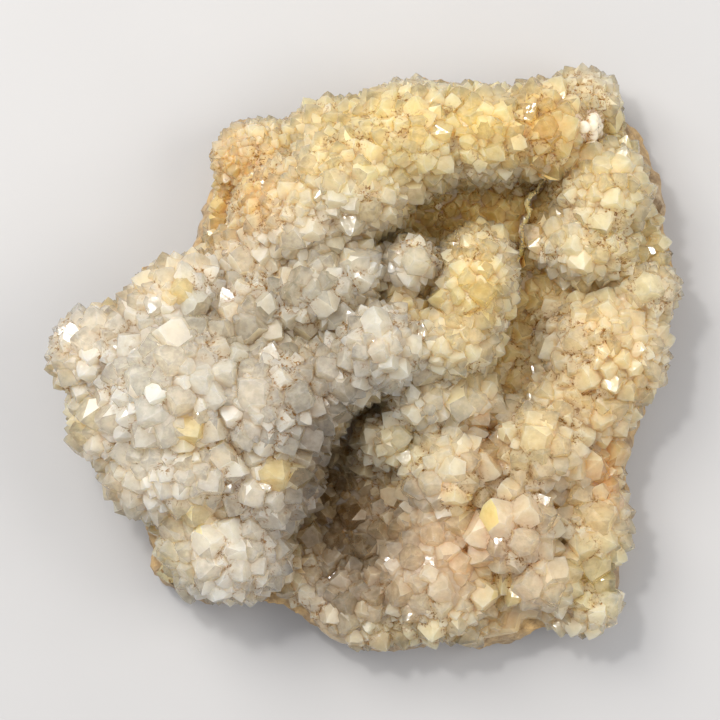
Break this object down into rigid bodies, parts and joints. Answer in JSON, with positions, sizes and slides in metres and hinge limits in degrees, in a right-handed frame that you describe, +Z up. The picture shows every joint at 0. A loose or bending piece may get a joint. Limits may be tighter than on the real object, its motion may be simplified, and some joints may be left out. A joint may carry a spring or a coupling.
{
  "type": "quartz crystal plate",
  "caption": "Crust of short pointed quartz crystals over rounded lumps, grown on a flat broken piece of matrix rock.",
  "frame": {"origin": "on the flat face that the rock rests on, near the middle of the specimen's footprint", "axes": "+X along the specimen's longest side, towards the thin plate and away from the broad pale lobe; +Y towards the ridge; +Z up, out of the crystal side"},
  "size_m": [0.1501, 0.1419, 0.0504],
  "materials": {
    "matrix_rock": "rough, broken, stained honey brown",
    "quartz_crust": "milky to clear quartz with glossy flat faces"
  },
  "bodies": {
    "root": {"matrix_rock": "matrix_rock", "quartz_crust": "quartz_crust"}
  },
  "joints": []
}
